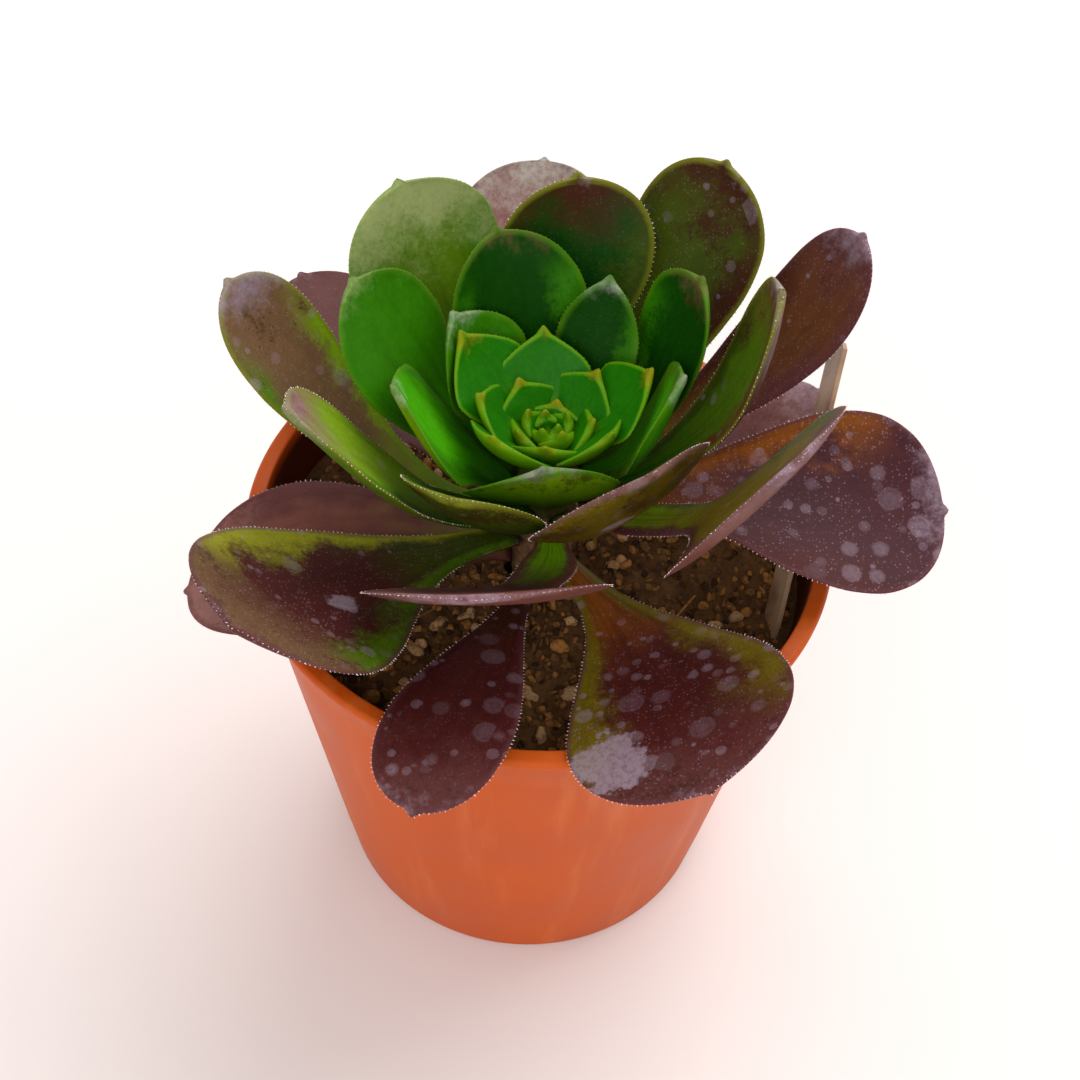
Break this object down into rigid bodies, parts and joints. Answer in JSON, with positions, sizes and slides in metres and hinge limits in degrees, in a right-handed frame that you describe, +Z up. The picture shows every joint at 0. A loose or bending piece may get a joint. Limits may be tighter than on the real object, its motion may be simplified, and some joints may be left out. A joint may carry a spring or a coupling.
{
  "type": "potted semponium",
  "caption": "Rosette succulent with fleshy spoon-shaped leaves, burgundy and bronze outside and green at the heart, growing in a small tapered plastic nursery pot.",
  "frame": {"origin": "middle of the pot's foot, on the surface that it stands on", "axes": "+Z up, +Y away from the viewer of the picture, +X to the viewer's right"},
  "size_m": [0.1068, 0.1098, 0.1158],
  "materials": {
    "pot": "satin terracotta-coloured plastic",
    "soil": "rough dark peat with grit",
    "stem": "rough bark",
    "label": "plain pale plastic, bare",
    "outer_leaf": "satin, burgundy with a pale bloom",
    "rising_leaf": "satin, bronze to green",
    "upright_leaf": "satin, green with dark tips",
    "inner_leaf": "satin, green",
    "heart_leaf": "satin, bright green"
  },
  "bodies": {
    "root": {"pot": "pot", "soil": "soil", "stem": "stem", "label": "label", "spreading_left_leaf": "outer_leaf", "spreading_front_leaf": "outer_leaf", "spreading_back_right_leaf": "outer_leaf", "spreading_right_leaf": "outer_leaf", "spreading_front_right_leaf": "outer_leaf", "spreading_back_left_leaf": "outer_leaf", "spreading_front_left_leaf": "outer_leaf", "spreading_back_leaf": "outer_leaf", "rising_front_leaf": "rising_leaf", "rising_back_right_leaf": "rising_leaf", "rising_right_leaf": "rising_leaf", "rising_left_leaf": "rising_leaf", "rising_front_left_leaf": "rising_leaf", "rising_back_left_leaf": "rising_leaf", "rising_back_leaf": "rising_leaf", "upright_front_right_leaf": "upright_leaf", "upright_back_leaf": "upright_leaf", "upright_front_left_leaf": "upright_leaf", "upright_right_leaf": "upright_leaf", "upright_left_leaf": "upright_leaf", "upright_back_left_leaf": "upright_leaf", "upright_front_leaf": "upright_leaf", "upright_back_right_leaf": "upright_leaf", "inner_right_leaf": "inner_leaf", "inner_left_leaf": "inner_leaf", "inner_back_leaf": "inner_leaf", "inner_back_left_leaf": "inner_leaf", "heart": "heart_leaf"}
  },
  "joints": []
}
